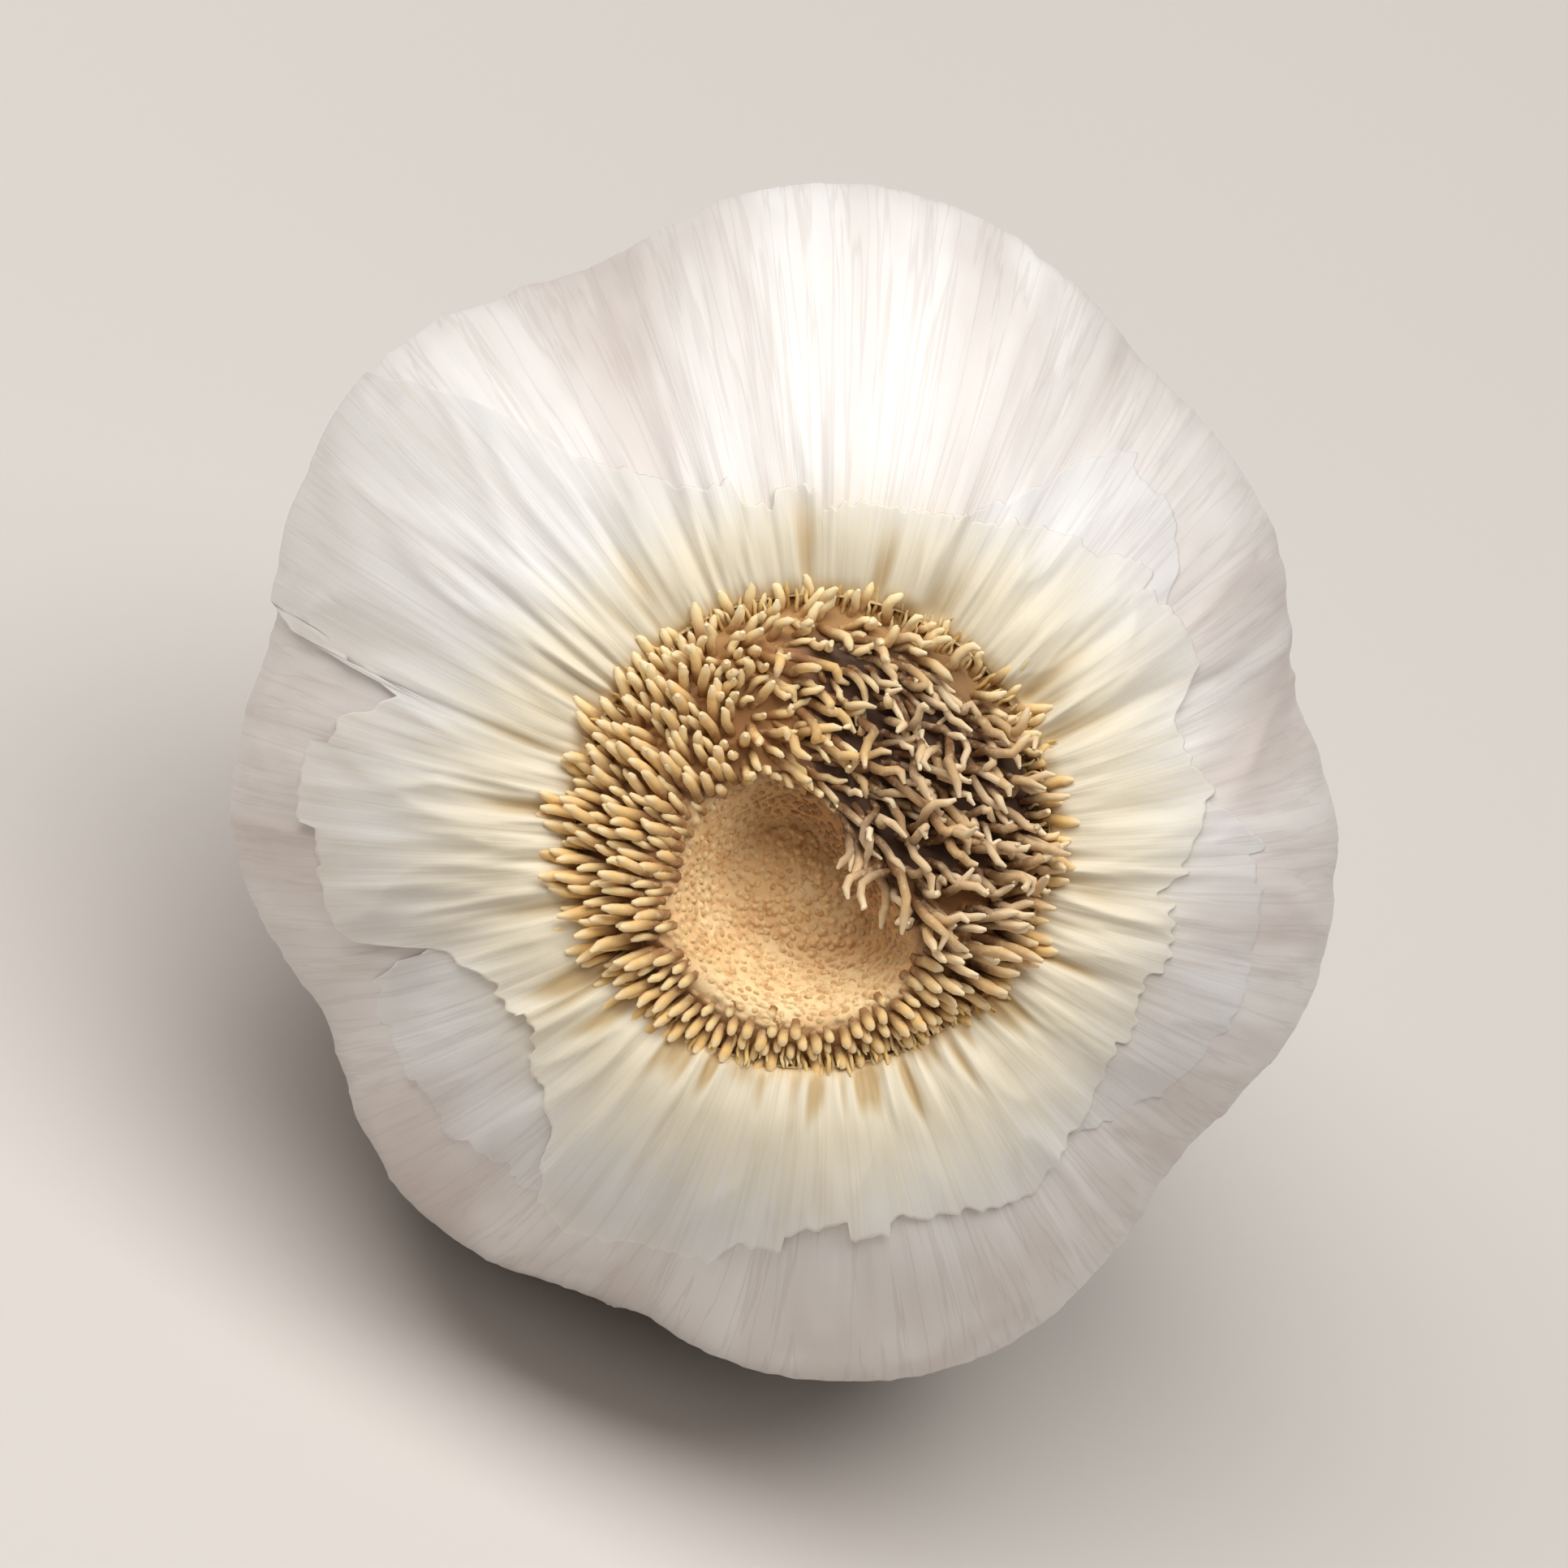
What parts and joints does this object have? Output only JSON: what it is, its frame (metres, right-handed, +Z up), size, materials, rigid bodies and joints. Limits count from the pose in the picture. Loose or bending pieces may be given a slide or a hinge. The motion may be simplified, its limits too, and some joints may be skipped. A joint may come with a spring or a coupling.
{
  "type": "garlic bulb",
  "caption": "Whole dry garlic bulb in torn papery skin, its neck cut short and its roots trimmed to stubs, lying on its side on its neck and two cloves.",
  "frame": {"origin": "on the surface that the bulb lies on, under the middle of its bounding box", "axes": "+Z up from the surface; the root end faces -Y and up, the cut neck points to +Y and down; +X is to the right of someone who looks at the root end"},
  "size_m": [0.0544, 0.0578, 0.0515],
  "materials": {
    "dry_skin": "dry papery skin, satin, off-white, cream round the roots",
    "dry_root": "dry, matt, tan"
  },
  "bodies": {
    "root": {"bulb": "dry_skin", "root_plate": "dry_root"}
  },
  "joints": []
}
